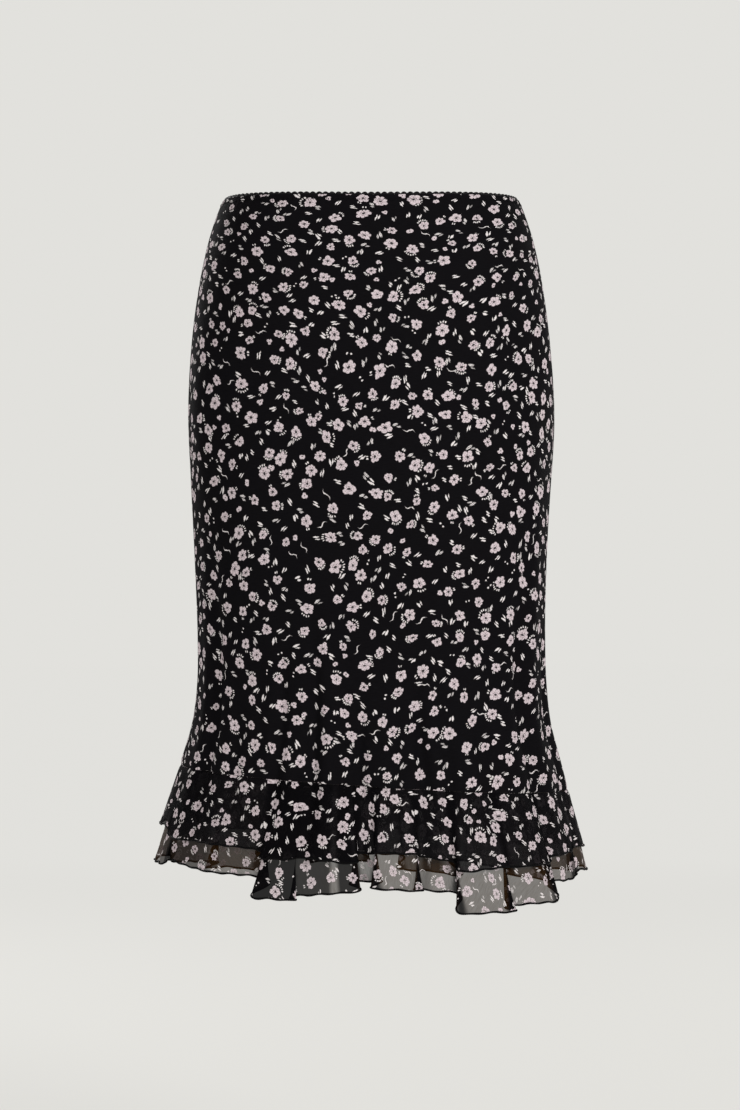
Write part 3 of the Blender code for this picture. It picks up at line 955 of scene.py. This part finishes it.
def makeBody(columns, second, cloth, reverse):
    form = bodyPanels
    share = np.linspace(0, 1, form["rows"])[:, None]
    top, foot = waistHeightAt(columns["even"]), seamHeightAt(columns["even"])
    z = (1 - share) * top + share * foot
    degrees = columns["even"] + 0 * z
    around = degrees / 360
    out = -creaseDepth(degrees, z)
    for amount, count, lean in form["sway"]:
        out += amount * np.sin(turn * (count * around + lean * z) + count) * eased(-z, *form["swayFall"])
    gather = unevenWave(around, form["puckerLength"] / form["puckerGirth"], 5)
    gather = gather * (0.7 + 0.3 * unevenWave(around, 0.09, 8))
    out += form["puckers"] * gather * np.exp(-(((z - top) / form["puckerFall"]) ** 2))
    out -= form["seamTuck"] * (1 - eased(z - foot, 0, form["seamTuckHeight"]))
    fromSide = np.minimum(*(np.abs(angleFrom(side, degrees)) for side in foldForm["sideSeams"]))
    fromSide = fromSide * math.radians(1) * form["sideRadius"]
    out -= form["sideTuck"] * np.exp(-((fromSide / form["sideTuckWidth"]) ** 2))
    outer = foldedPoints(columns, z, 0.0, out)
    inner = movedOut(outer, -form["thickness"])
    pieces = []
    for side, name, node, flat, area, shift in form["panels"]:
        near, far = halfOf(outer, second, side), halfOf(inner, second, side)
        stretch = 1 - eased(stepsAlong(near, 0), *form["stretchFall"])
        across = stepsAlong(near, 1)
        across -= across[:, across.shape[1] // 2][:, None]
        across *= 1 - form["stretchAcross"] * stretch
        steps = np.diff(stepsAlong(near, 0), axis=0) * (1 + form["stretchDown"] * stretch[1:])
        down = -np.concatenate([0 * steps[:1], np.cumsum(steps, axis=0)])
        plan = np.stack([across, down], axis=-1) + shift
        piece = makePiece(name, wallPatches(near, far, plan), [cloth, reverse], sharp=70)
        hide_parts(node)
        pieces.append((piece, flat, area))
    return pieces, outer


# Ruffles: two rings of sheer cloth, each a single sheet, with a rolled hem

ruffleForm = {
    "upper": {"rows": 22, "level": 0.85 * mm, "hemWave": 0.7 * mm, "hemWaveLength": 15 * mm, "seed": 21,
              "creaseShare": 1.0, "shift": 0.0},
    "lower": {"rows": 34, "level": -0.55 * mm, "hemWave": 0.9 * mm, "hemWaveLength": 17 * mm, "seed": 34,
              "creaseShare": 0.8, "shift": 0.77},
    "plans": {"front": (0.5, 1.7), "back": (2.1, 2.6)},  # where each half lies in the print
    "pitch": 1.4 * mm,
    "seamGap": 0.3 * mm,
    "hemReach": 9 * mm,  # how far up the hem's wave is felt
    "hemDrop": (0.55, 1.31),  # the wave's size and length up and down, as a share of the wave out
    "easing": 0.3 * mm,  # puckers where the circle is eased onto the body
    "easingLength": 6.0 * mm,
    "easingFall": 12 * mm,
    "seamGirth": 1.02,
    "flutter": 0.7 * mm,
    "tuck": 0.9 * mm,  # how far the cloth turns in under the seam, over tuckFall
    "tuckFall": 4 * mm,
    "doubledAndShadedFade": 0.7,  # degrees
    # stretches of both ruffles painted darker and more opaque, as cloth lying double with painted shade in
    # the folds: from and to in degrees, and how much
    "doubled": [
        (-80, -49, 0.55), (-29.5, -19.5, 1.0), (-19.5, -10.5, 0.9), (-9.8, -5.6, 0.95), (14.5, 16.5, 0.35),
        (49.5, 54, 0.8), (62, 71, 0.3), (96, 104, 0.5), (128, 134, 0.8), (147, 152, 0.4), (161, 166, 0.8),
        (184, 190, 0.6), (203, 206, 0.5), (238, 250, 0.3),
    ],
}


def ruffleGrid(columns, layer):
    form, own = ruffleForm, ruffleForm[layer]
    share = np.linspace(0, 1, own["rows"])[:, None]
    fall = share * columns[layer]
    overlap = (fall / columns["lower"]) ** foldForm["overlapGrowth"]
    out = share * columns["spread"] if layer == "upper" else 0 * fall
    degrees = columns["even"] + 0 * fall
    z = seamHeightAt(degrees) - form["seamGap"] - fall
    grid = movedOut(foldedPoints(columns, z, overlap, out - form["pitch"]), own["level"])
    along = summed(np.linalg.norm(np.diff(grid[-1], axis=0, append=grid[-1][:1]), axis=1))
    place = along[:-1] / along[-1]
    nearHem = np.exp(-(((1 - share) * columns[layer] / form["hemReach"]) ** 2))
    wave = unevenWave(place, own["hemWaveLength"] / along[-1], own["seed"])
    size = 0.6 + 0.4 * unevenWave(place, 0.07, own["seed"] + 1)
    lift = own["hemWave"] * wave * size * nearHem
    ease = unevenWave(columns["even"] / 360, form["easingLength"] / form["seamGirth"], 55)
    ease = form["easing"] * ease * np.exp(-((fall / form["easingFall"]) ** 2))
    flutter = form["flutter"] * share * np.sin(turn * (37 * place + 9 * fall) + 3 * np.sin(turn * 5 * place))
    tuck = form["tuck"] * (1 - eased(fall, 0, form["tuckFall"]))
    crease = own["creaseShare"] * creaseDepth(degrees, z)
    moved = movedOut(grid, lift + ease + flutter - tuck - crease)
    drop, longer = form["hemDrop"]
    wave = unevenWave(place, longer * own["hemWaveLength"] / along[-1], own["seed"] + 7)
    moved[..., 2] += drop * own["hemWave"] * nearHem * wave
    return moved, doubledAndShadedAt(columns, overlap)


def doubledAndShadedAt(columns, overlap):
    # from 0 to 1 where the cloth is painted darker and more opaque: painted shade at the folds' edges, where
    # the cloth stands edge-on, and along some stretches taken as lying double
    even, degrees = columns["even"], lappedDegrees(columns, overlap)
    wall, fade = foldForm["wallHalfAngle"], ruffleForm["doubledAndShadedFade"]
    mask = 0 * degrees
    for middle, half in foldEdges():
        wide = overlap * half - (1 - overlap) * wall + foldForm["pinch"] * overlap ** foldForm["pinchRise"]
        mask = np.maximum(mask, np.exp(-((angleFrom(middle, degrees) / np.maximum(wide, 0.05)) ** 4)))
        mask = np.maximum(mask, np.exp(-((angleFrom(middle, even) / (1.25 * wall)) ** 4)))
    for start, end, share in ruffleForm["doubled"]:
        inside = (even - start) % 360
        near = eased(inside, 0, fade) * (1 - eased(inside, end - start - fade, end - start))
        mask = np.maximum(mask, share * near)
    return mask


def makeRuffle(layer, columns, second, cloth):
    grid, doubled = ruffleGrid(columns, layer)
    made = []
    for side, offset in ruffleForm["plans"].items():
        near = halfOf(grid, second, side)
        across, down = stepsAlong(near, 1), stepsAlong(near, 0)
        topGirth, hemGirth = across[0, -1], across[-1, -1]
        length = down[-1].mean()
        inner = topGirth * length / (hemGirth - topGirth)
        angle = across[-1] / (inner + length)
        angle = angle - angle.mean()
        plan = np.stack([(inner + down) * np.sin(angle), -(inner + down) * np.cos(angle)], axis=-1)
        plan += np.array(offset) + ruffleForm[layer]["shift"]
        piece = makePiece(f"{layer}Ruffle{side.capitalize()}", [patch(near, plan)], [cloth], sharp=180)
        addMap(piece, np.stack([np.minimum(across, across[:, -1:] - across), down], axis=-1))
        # the painted shade mask, kept on the piece for its material: cloth lying double and shade in the
        # folds
        mask = halfOf(doubled[..., None], second, side)
        piece.data.attributes.new("doubled", "FLOAT", "POINT").data.foreach_set("value", mask.ravel())
        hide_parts(f"{layer}_ruffle_{side}")
        half = angle[-1]
        outerRadius = inner + length
        flat = (2 * outerRadius * math.sin(min(half, math.pi / 2)), outerRadius - inner * math.cos(half))
        area = (topGirth + hemGirth) / 2 * length
        made.append((piece, tuple(round(float(size), 3) for size in flat), round(float(area), 4)))
        print(piece.name, "seam", round(topGirth, 3), "hem", round(hemGirth, 3), "length", round(length, 3),
              "inner radius", round(inner, 3), "turn", round(math.degrees(2 * half)), "flat", made[-1][1:])
    return made, grid[-1]


def addMap(piece, values):
    # a second plan, from the grid's own values; the piece is one unmerged patch
    mesh = piece.data
    layer = mesh.uv_layers.new(name="edgePlace")
    corner = np.empty(len(mesh.loops), dtype=np.int32)
    mesh.loops.foreach_get("vertex_index", corner)
    layer.data.foreach_set("uv", values.reshape(-1, 2)[corner].astype(np.float32).ravel())


# Rolled hems

rolledHem = {
    "radius": 1.0 * mm,
    "step": 0.9 * mm,
    "sides": 8,
    "bind": 0.09,  # how much the overlock thread pinches it
    "bindLength": 1.8 * mm,
    "uneven": 0.12,
    "unevenLength": 0.011,  # as a share of the hem
}


def makeRoll(name, ring, thread):
    form = rolledHem
    path, wanted = spacedRing(ring, lambda girth: round(girth / form["step"]))
    ahead = np.roll(path[:-1], -1, axis=0) - np.roll(path[:-1], 1, axis=0)
    ahead = unit(np.concatenate([ahead, ahead[:1]]))
    side = unit(np.cross(ahead, (0, 0, 1.0)))
    place = wanted / wanted[-1]
    binds = round(wanted[-1] / form["bindLength"])
    girth = 1 + form["bind"] * np.sin(turn * binds * place)
    girth *= 1 + form["uneven"] * unevenWave(place, form["unevenLength"], 77)
    girth[-1] = girth[0]
    grid, plan = tube(path, side, np.cross(side, ahead), form, girth, wanted)
    piece = makePiece(name, [patch(grid, plan)], [thread], sharp=180)
    return piece


# Picot elastic

waistElastic = {
    "height": 10 * mm,
    "behind": 1.05 * mm,  # from the cloth's outer face to the elastic's
    "thickness": 1.5 * mm,
    "rise": 0.8 * mm,
    "scallops": 130,
    "scallopHeight": 2.2 * mm,
    "scallopPower": 0.75,
    "steps": 12,  # to a scallop
    "rows": 9,
    "girth": 0.84,
}


def rowBelow(grid, distance):
    # the ring at that distance below the grid's top edge, which its first rows reach
    return np.array([
        [np.interp(distance, column[0, 2] - column[:8, 2], column[:8, axis]) for axis in range(3)]
        for column in grid.transpose(1, 0, 2)
    ])


def makeElastic(outer, cloth):
    form = waistElastic
    count = form["scallops"] * form["steps"]
    backing = movedOut(outer, -form["behind"])
    heights = np.linspace(0, form["height"], form["rows"])
    band = np.array([spacedRing(rowBelow(backing, height), lambda girth: count)[0] for height in heights])
    up = unit(band[0] - band[-1])
    phase = np.arange(count + 1) / form["steps"]
    scallop = np.abs(np.sin(math.pi * phase)) ** form["scallopPower"]
    share = np.linspace(1, 0, form["rows"])[:, None, None] ** 3
    band = band + share * up * (form["rise"] + form["scallopHeight"] * scallop)[:, None]
    inner = movedOut(band[:, :-1], -form["thickness"])
    inner = np.concatenate([inner, inner[:, :1]], axis=1)
    plan = planOf(phase / form["scallops"] * form["girth"], heights[::-1])
    patches = [
        patch(band, plan, (0, 0.55, 1, 1)),
        patch(inner, plan, (0, 0, 1, 0.45), flip=True),
        strip(band, inner, plan, 0, (0, 0.46, 1, 0.49), flip=True),
        strip(band, inner, plan, -1, (0, 0.51, 1, 0.54)),
    ]
    piece = makePiece("waistElastic", patches, [cloth], sharp=60)
    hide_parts("waist_elastic")
    return piece


# Stitches that hold the elastic: a zigzag of short threads

waistStitches = {
    "height": 5.2 * mm,  # below the cloth's top edge
    "rise": 1.5 * mm,  # half the zigzag's height
    "length": 2.6 * mm,
    "radius": 0.19 * mm,
    "proud": 0.1 * mm,
    "span": (0.04, 0.96),  # the part of each step that the thread fills
    "sides": 6,
    "rings": 6,
}


def makeStitches(outer, thread):
    form = waistStitches
    row = rowBelow(outer, form["height"])
    knots, _ = spacedRing(row, lambda girth: 2 * round(girth / form["length"] / 2))
    count = len(knots) - 1
    knots[:, 2] += form["rise"] * np.where(np.arange(count + 1) % 2, 1, -1)
    ahead = np.diff(knots, axis=0)
    outward = unit(np.stack([ahead[:, 1], -ahead[:, 0], 0 * ahead[:, 2]], axis=1))
    up = np.cross(unit(ahead), outward)
    share = np.linspace(*form["span"], form["rings"])
    swell = np.sin(math.pi * share) ** 0.5
    patches = []
    for i in range(count):
        middle = knots[i] + share[:, None] * ahead[i] + outward[i] * (form["proud"] * swell)[:, None]
        grid, plan = tube(middle, outward[i], up[i], form, swell, share * form["length"])
        patches.append(patch(grid, plan, (i / count, 0, (i + 0.9) / count, 1)))
    piece = makePiece("waistStitches", patches, [thread], sharp=180)
    return piece


# Studio: pale floor and setting, soft light, the photograph's camera

studio = {
    "pale": (0.76, 0.753, 0.723),
    "roomLight": 0.5,  # how much of the room's brightness falls on the cloth
    "floorHeight": -1.05,
    "floorSize": 30.0,
    "floorGlow": 0.71,
    "floorColour": (0.25, 0.247, 0.237),
    "floorFade": (1.6, 2.2),  # metres from the middle where the floor starts to fade, and how long that takes
    # place, what it faces, side in metres, power in watts
    "lights": [
        ((2.0, -2.3, 0.7), (0, 0, -0.35), 1.1, 62),
        ((-2.1, -1.9, 0.1), (0, 0, -0.4), 1.6, 19),
        ((-1.9, 2.3, 0.8), (0, 0, -0.35), 1.2, 42),
        ((2.0, 2.0, 0.2), (0, 0, -0.4), 1.6, 17),
    ],
}

camera = {"place": (-0.001, -3.0, -0.3626), "lens": 94.46, "sensor": 36.0}


def makeStudio():
    world = bpy.data.worlds.new("paleRoom")
    bpy.context.scene.world = world
    world.use_nodes = True
    background = world.node_tree.nodes["Background"]
    background.inputs["Color"].default_value = (*studio["pale"], 1)
    add, calc, *_ = nodeTools(world.node_tree)
    seen = add("ShaderNodeLightPath").outputs["Is Camera Ray"]
    strength = calc("MULTIPLY_ADD", seen, 1 - studio["roomLight"], studio["roomLight"])
    put(world.node_tree, background.inputs["Strength"], strength)
    half, z = studio["floorSize"] / 2, studio["floorHeight"]
    mesh = bpy.data.meshes.new("studioFloor")
    corners = [(-half, -half, z), (half, -half, z), (half, half, z), (-half, half, z)]
    mesh.from_pydata(corners, [], [(0, 1, 2, 3)])
    floor = placed("studioFloor", mesh)
    material = bpy.data.materials.new("paleFloor")
    material.use_nodes = True
    tree = material.node_tree
    add, calc, _, vector, blend = nodeTools(tree)
    start, fade = studio["floorFade"]
    away = calc("SUBTRACT", vector("LENGTH", add("ShaderNodeTexCoord").outputs["Object"]), start)
    far = calc("SMOOTH_MIN", calc("DIVIDE", away, fade, clamp=True), 1.0, 0.1)
    soft = tuple(part * studio["floorGlow"] for part in studio["pale"])
    for label, value in {
        "Base Color": blend(far, studio["floorColour"], (0, 0, 0)),
        "Roughness": 0.9,
        "Specular IOR Level": 0.0,
        "Emission Color": blend(far, soft, studio["pale"]),
        "Emission Strength": 1.0,
    }.items():
        put(tree, tree.nodes["Principled BSDF"].inputs[label], value)
    mesh.materials.append(material)
    for i, (place, facing, size, power) in enumerate(studio["lights"]):
        light = bpy.data.lights.new(f"softbox{i + 1}", "AREA")
        light.shape, light.size, light.energy = "SQUARE", size, power
        lamp = placed(light.name, light)
        lamp.location = place
        lamp.rotation_euler = (Vector(facing) - Vector(place)).to_track_quat("-Z", "Y").to_euler()
        lamp.visible_camera = False
    bpy.context.scene.view_settings.view_transform = "Standard"


def makeCamera():
    data = bpy.data.cameras.new("photoCamera")
    data.lens, data.sensor_width = camera["lens"], camera["sensor"]
    view = placed("photoCamera", data)
    view.location = camera["place"]
    view.rotation_euler = (math.pi / 2, 0, 0)
    bpy.context.scene.camera = view


makeStudio()
makeCamera()
print("studio and camera ready")

printGroup, weaveGroup = makePrintGroup(), makeWeaveGroup()
bodyCloth = makeBodyCloth("printedCrepe", printGroup, weaveGroup)
bodyReverse = makeBodyCloth("crepeWrongSide", printGroup, weaveGroup, fade=0.72)
chiffon = {
    "upper": makeRuffleCloth("upper", printGroup, weaveGroup, "black"),
    "lower": makeRuffleCloth("lower", printGroup, weaveGroup, "brownBlack"),
}
blackThread = makeThread("blackThread", weaveGroup)
elasticCloth = makeElasticCloth("picotElastic", weaveGroup)
print("materials ready")

columns, second = foldColumns()
bodyPieces, bodyOuter = makeBody(columns, second, bodyCloth, bodyReverse)
print("body panels ready")

sheets, rolls = [], []
for layer in ("upper", "lower"):
    made, hemLine = makeRuffle(layer, columns, second, chiffon[layer])
    sheets += made
    rolls.append(makeRoll(f"{layer}HemRoll", hemLine, blackThread))
print("ruffles and hems ready")

elastic = makeElastic(bodyOuter, elasticCloth)
stitches = makeStitches(bodyOuter, blackThread)
print("waist ready")

for piece, flat, area in sheets:
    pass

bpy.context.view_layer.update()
meshes = [piece.data for piece in bpy.data.objects if piece.type == "MESH"]
print("triangles", sum(len(face.vertices) - 2 for mesh in meshes for face in mesh.polygons))
